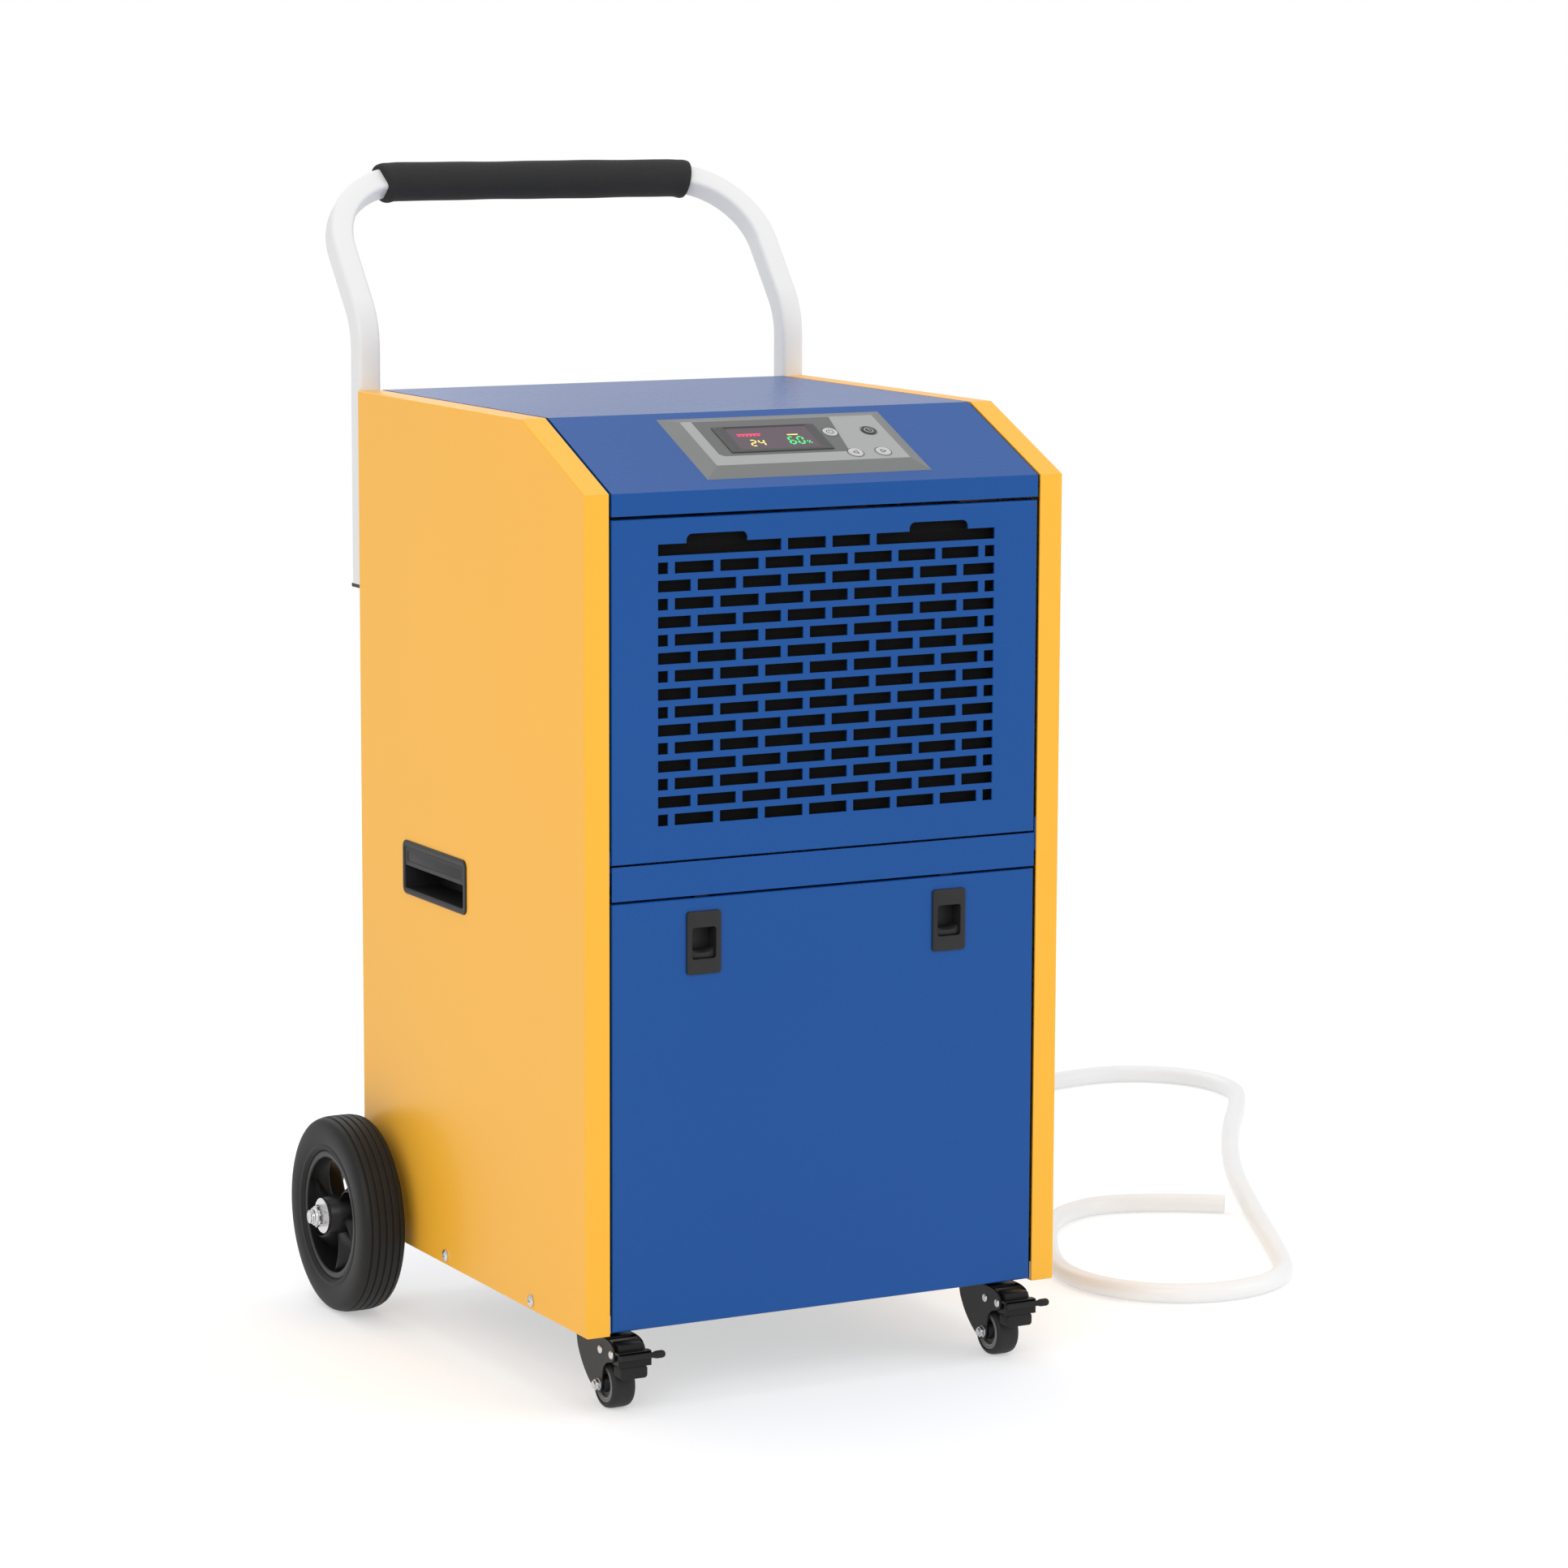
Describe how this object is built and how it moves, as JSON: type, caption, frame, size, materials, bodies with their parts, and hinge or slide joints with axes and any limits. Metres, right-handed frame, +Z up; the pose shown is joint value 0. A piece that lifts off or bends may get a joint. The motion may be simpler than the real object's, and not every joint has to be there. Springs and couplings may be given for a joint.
{
  "type": "dehumidifier",
  "caption": "Upright wheeled dehumidifier with a sheet-metal cabinet, sloped control face, slotted intake grille, latched lower door, push handle and drain hose.",
  "frame": {"origin": "on the floor under the middle of the machine's overall width and depth, the drain hose left out", "axes": "+Z up, the front with its grille and controls faces -Y, +X towards the machine's left as it looks out, which is the right of someone facing it"},
  "size_m": [1.1743, 0.9133, 0.9606],
  "materials": {
    "yellow_paint": "satin powder coat",
    "blue_paint": "satin powder coat",
    "white_paint": "satin powder coat",
    "black_plastic": "fine texture",
    "black_steel": "satin",
    "foam": "closed-cell foam",
    "zinc_steel": "zinc plated",
    "galvanised": "galvanised sheet",
    "tyre_rubber": "matte",
    "rubber": "matte",
    "grey_plastic": "satin",
    "key_plastic": "satin",
    "dark_key": "satin",
    "screen": "smoked",
    "board": "solder mask",
    "white_plastic": "natural polypropylene",
    "clear_pvc": "translucent",
    "copper": "drawn tube",
    "fins": "fin stock",
    "shell": "black enamel",
    "filter": "nylon mesh"
  },
  "bodies": {
    "cabinet": {"base_pan": "galvanised", "left_side_panel": "yellow_paint", "right_side_panel": "yellow_paint", "top_cover": "blue_paint", "rear_panel": "blue_paint", "middle_rail": "blue_paint", "partition_shelf": "galvanised", "bay_wall": "galvanised", "left_pull": "black_plastic", "right_pull": "black_plastic", "panel_screws": "zinc_steel", "handle_tube": "white_paint", "handle_grip": "foam", "handle_end_caps": "black_plastic", "handle_bolts": "zinc_steel", "control_bezel": "grey_plastic", "display_window": "screen", "control_board": "board", "drip_tray": "white_plastic", "evaporator": "fins", "condenser": "fins", "fan_shroud": "galvanised", "fan_motor": "shell", "compressor": "shell", "compressor_feet": "rubber", "accumulator": "black_steel", "refrigerant_pipes": "copper", "electrical_box": "galvanised", "water_tank": "white_plastic", "float_switch": "black_plastic", "rear_axle": "zinc_steel", "axle_fasteners": "zinc_steel", "drain_spout": "white_plastic", "cord_gland": "black_plastic", "caster_plates": "black_steel", "drain_hose": "clear_pvc"},
    "door": {"front_door": "blue_paint", "latch_housings": "black_plastic"},
    "left_latch": {"left_latch_slider": "black_plastic"},
    "right_latch": {"right_latch_slider": "black_plastic"},
    "grille": {"grille_panel": "blue_paint", "air_filter": "filter"},
    "power_key": {"power_button": "key_plastic"},
    "timer_key": {"timer_button": "dark_key"},
    "down_key": {"down_button": "key_plastic"},
    "up_key": {"up_button": "key_plastic"},
    "fan": {"fan_impeller": "black_plastic"},
    "float": {"float_arm": "white_plastic"},
    "left_wheel": {"left_tyre": "tyre_rubber", "left_hub": "black_plastic"},
    "right_wheel": {"right_tyre": "tyre_rubber", "right_hub": "black_plastic"},
    "left_caster": {"left_caster_fork": "black_steel", "left_caster_pins": "zinc_steel"},
    "left_roller": {"left_caster_wheel": "rubber"},
    "left_brake": {"left_brake_pedal": "black_steel"},
    "right_caster": {"right_caster_fork": "black_steel", "right_caster_pins": "zinc_steel"},
    "right_roller": {"right_caster_wheel": "rubber"},
    "right_brake": {"right_brake_pedal": "black_steel"}
  },
  "joints": [
    {"name": "door_hinge", "type": "hinge", "parent": "cabinet", "child": "door", "pos_m": [0, -0.26035, 0.073], "axis": [1, 0, 0], "range_deg": [0, 90]},
    {"name": "left_latch_slide", "type": "slide", "parent": "door", "child": "left_latch", "axis": [0, 0, -1], "range_m": [0, 0.006], "stiffness_N_per_m": 200, "springref_m": -0.004},
    {"name": "right_latch_slide", "type": "slide", "parent": "door", "child": "right_latch", "axis": [0, 0, -1], "range_m": [0, 0.006], "stiffness_N_per_m": 200, "springref_m": -0.004},
    {"name": "grille_tilt", "type": "hinge", "parent": "cabinet", "child": "grille", "pos_m": [0, -0.26335, 0.4423], "axis": [1, 0, 0], "range_deg": [0, 45]},
    {"name": "power_press", "type": "slide", "parent": "cabinet", "child": "power_key", "axis": [0, 0.4061, -0.9138], "range_m": [0, 0.001], "stiffness_N_per_m": 300, "springref_m": -0.0006},
    {"name": "timer_press", "type": "slide", "parent": "cabinet", "child": "timer_key", "axis": [0, 0.4061, -0.9138], "range_m": [0, 0.001], "stiffness_N_per_m": 300, "springref_m": -0.0006},
    {"name": "down_press", "type": "slide", "parent": "cabinet", "child": "down_key", "axis": [0, 0.4061, -0.9138], "range_m": [0, 0.001], "stiffness_N_per_m": 300, "springref_m": -0.0006},
    {"name": "up_press", "type": "slide", "parent": "cabinet", "child": "up_key", "axis": [0, 0.4061, -0.9138], "range_m": [0, 0.001], "stiffness_N_per_m": 300, "springref_m": -0.0006},
    {"name": "fan_spin", "type": "hinge", "parent": "cabinet", "child": "fan", "pos_m": [0, -0.09635, 0.575], "axis": [0, 1, 0], "continuous": true},
    {"name": "float_lift", "type": "hinge", "parent": "cabinet", "child": "float", "pos_m": [0.075, -0.04635, 0.342], "axis": [-1, 0, 0], "range_deg": [0, 12]},
    {"name": "left_wheel_spin", "type": "hinge", "parent": "cabinet", "child": "left_wheel", "pos_m": [-0.241, 0.13465, 0.083], "axis": [1, 0, 0], "continuous": true},
    {"name": "right_wheel_spin", "type": "hinge", "parent": "cabinet", "child": "right_wheel", "pos_m": [0.241, 0.13465, 0.083], "axis": [1, 0, 0], "continuous": true},
    {"name": "left_caster_swivel", "type": "hinge", "parent": "cabinet", "child": "left_caster", "pos_m": [-0.175, -0.22235, 0.06], "axis": [0, 0, 1], "continuous": true},
    {"name": "left_roller_spin", "type": "hinge", "parent": "left_caster", "child": "left_roller", "pos_m": [-0.175, -0.24235, 0.02], "axis": [1, 0, 0], "continuous": true},
    {"name": "left_brake_press", "type": "hinge", "parent": "left_caster", "child": "left_brake", "pos_m": [-0.175, -0.26485, 0.049], "axis": [1, 0, 0], "range_deg": [0, 18]},
    {"name": "right_caster_swivel", "type": "hinge", "parent": "cabinet", "child": "right_caster", "pos_m": [0.175, -0.22235, 0.06], "axis": [0, 0, 1], "continuous": true},
    {"name": "right_roller_spin", "type": "hinge", "parent": "right_caster", "child": "right_roller", "pos_m": [0.175, -0.24235, 0.02], "axis": [1, 0, 0], "continuous": true},
    {"name": "right_brake_press", "type": "hinge", "parent": "right_caster", "child": "right_brake", "pos_m": [0.175, -0.26485, 0.049], "axis": [1, 0, 0], "range_deg": [0, 18]}
  ]
}
